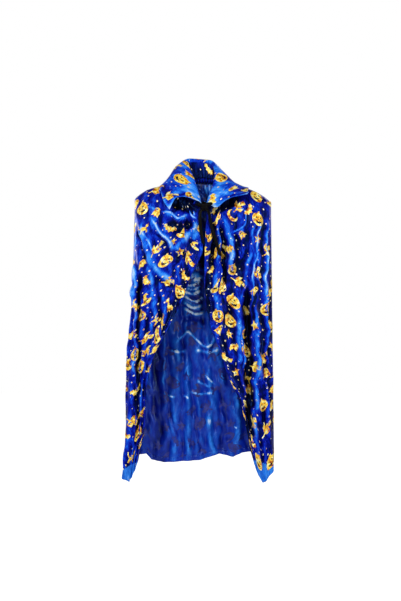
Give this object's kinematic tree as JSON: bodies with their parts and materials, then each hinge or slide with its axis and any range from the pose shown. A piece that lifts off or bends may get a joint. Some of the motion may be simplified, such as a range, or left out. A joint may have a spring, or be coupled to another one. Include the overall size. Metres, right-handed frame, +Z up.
{
  "type": "costume cape",
  "caption": "Hanging costume cape with a deep turned-down collar, a drawstring neck tied with ribbon, and two front panels that fall open to pointed corners.",
  "frame": {"origin": "the middle of the neck opening, where the hanger that holds the cape up passes through it", "axes": "+Z up as the cape hangs, the front faces -Y, +X to the viewer's right from the front; left and right in names are the viewer's"},
  "size_m": [0.453, 0.1469, 0.9619],
  "materials": {
    "printed_velvet": "satin",
    "satin_reverse": "satin",
    "interfacing": "matte",
    "ribbon": "satin",
    "gold_foil": "satin",
    "thread": "matte"
  },
  "bodies": {
    "cape": {"back_panel": "printed_velvet", "back_hem": "satin_reverse", "left_front_yoke": "printed_velvet", "left_facing_upper": "satin_reverse", "right_front_yoke": "printed_velvet", "right_facing_upper": "satin_reverse", "neck_casing": "printed_velvet", "casing_ribbon": "ribbon", "ribbon_knot": "ribbon", "collar_stand": "printed_velvet", "collar_back_under": "printed_velvet", "collar_back_interfacing": "interfacing", "collar_back_upper": "printed_velvet"},
    "left_front": {"left_front_drape": "printed_velvet", "left_facing_lower": "satin_reverse"},
    "right_front": {"right_front_drape": "printed_velvet", "right_facing_lower": "satin_reverse"},
    "left_leaf": {"left_leaf_under": "printed_velvet", "left_leaf_interfacing": "interfacing", "left_leaf_upper": "printed_velvet"},
    "right_leaf": {"right_leaf_under": "printed_velvet", "right_leaf_interfacing": "interfacing", "right_leaf_upper": "printed_velvet"},
    "left_tail": {"left_ribbon_tail": "ribbon"},
    "right_tail": {"right_ribbon_tail": "ribbon"}
  },
  "joints": [
    {"name": "left_front_open", "type": "hinge", "parent": "cape", "child": "left_front", "pos_m": [-0.2145, 0, -0.303], "axis": [-0.028, 0, -0.9996], "range_deg": [0, 80]},
    {"name": "right_front_open", "type": "hinge", "parent": "cape", "child": "right_front", "pos_m": [0.21021, 0, -0.303], "axis": [-0.012, 0, 0.9999], "range_deg": [0, 80]},
    {"name": "left_leaf_lift", "type": "hinge", "parent": "cape", "child": "left_leaf", "pos_m": [-0.03931, 0.03646, 0.08069], "axis": [-0.2195, 0.5873, 0.7791], "range_deg": [0, 70]},
    {"name": "right_leaf_lift", "type": "hinge", "parent": "cape", "child": "right_leaf", "pos_m": [0.03771, 0.03651, 0.07833], "axis": [-0.1784, -0.6004, -0.7796], "range_deg": [0, 70]},
    {"name": "left_tail_swing", "type": "hinge", "parent": "cape", "child": "left_tail", "pos_m": [-0.006, -0.061, -0.058], "axis": [-1, 0, 0], "range_deg": [0, 70]},
    {"name": "right_tail_swing", "type": "hinge", "parent": "cape", "child": "right_tail", "pos_m": [0.014, -0.061, -0.058], "axis": [-1, 0, 0], "range_deg": [0, 70]}
  ]
}
